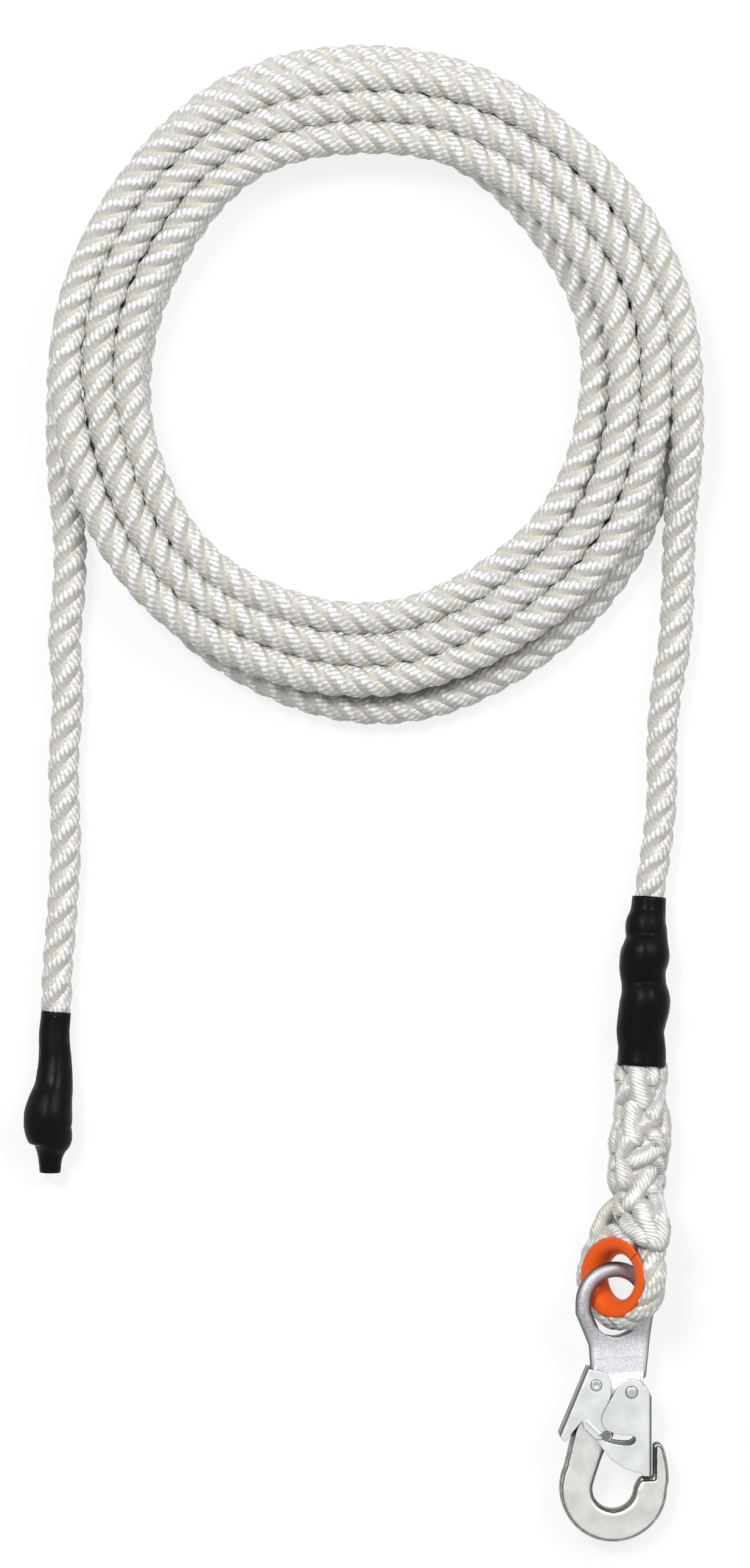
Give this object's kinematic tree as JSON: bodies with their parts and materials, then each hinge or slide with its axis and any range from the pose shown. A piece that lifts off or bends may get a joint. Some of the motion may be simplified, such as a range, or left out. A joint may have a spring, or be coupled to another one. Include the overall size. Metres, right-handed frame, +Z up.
{
  "type": "anchor rope with snap hook",
  "caption": "Coiled laid rope line with a knotted, sleeved end and a spliced eye on a thimble that carries a self-locking snap hook.",
  "frame": {"origin": "middle of the footprint, on the surface on which the line lies", "axes": "+Y from the hook towards the coil, along the longest side, +Z up, +X to the right seen from above"},
  "size_m": [0.3178, 0.7028, 0.0375],
  "materials": {
    "rope": "silky laid fibre",
    "sleeve": "satin",
    "thimble": "satin",
    "forging": "blasted and zinc plated",
    "sheet": "zinc plated",
    "rivet": "plain",
    "spring": "plain"
  },
  "bodies": {
    "line": {"rope_coil": "rope", "rope_tail_end": "rope", "rope_tail_hook": "rope", "end_knot": "rope", "end_sleeve": "sleeve", "splice_sleeve": "sleeve", "splice_core": "rope", "splice_strand_1": "rope", "splice_strand_2": "rope", "splice_strand_3": "rope", "rope_eye": "rope", "thimble": "thimble"},
    "hook": {"hook_body": "forging", "gate_rivet": "rivet", "lever_rivet": "rivet"},
    "gate": {"gate": "sheet", "gate_spring": "spring"},
    "lock_lever": {"lock_lever": "sheet", "lock_pins": "rivet", "lever_spring": "spring"}
  },
  "joints": [
    {"name": "hook_swing", "type": "hinge", "parent": "line", "child": "hook", "pos_m": [0.1187, -0.2384, 0.0165], "axis": [0, 0, 1], "range_deg": [-10, 10]},
    {"name": "gate_swing", "type": "hinge", "parent": "hook", "child": "gate", "pos_m": [0.12539, -0.27991, 0.01252], "axis": [-0.0523, 0.087, -0.9948], "range_deg": [0, 26], "stiffness_Nm_per_rad": 0.08, "springref_deg": -34.38},
    {"name": "lever_squeeze", "type": "hinge", "parent": "hook", "child": "lock_lever", "pos_m": [0.10891, -0.2768, 0.01366], "axis": [0.0523, -0.087, 0.9948], "range_deg": [0, 3.9]}
  ],
  "couplings": [
    {"joint": "lever_squeeze", "follows": "gate_swing", "ratio": 0.15}
  ]
}
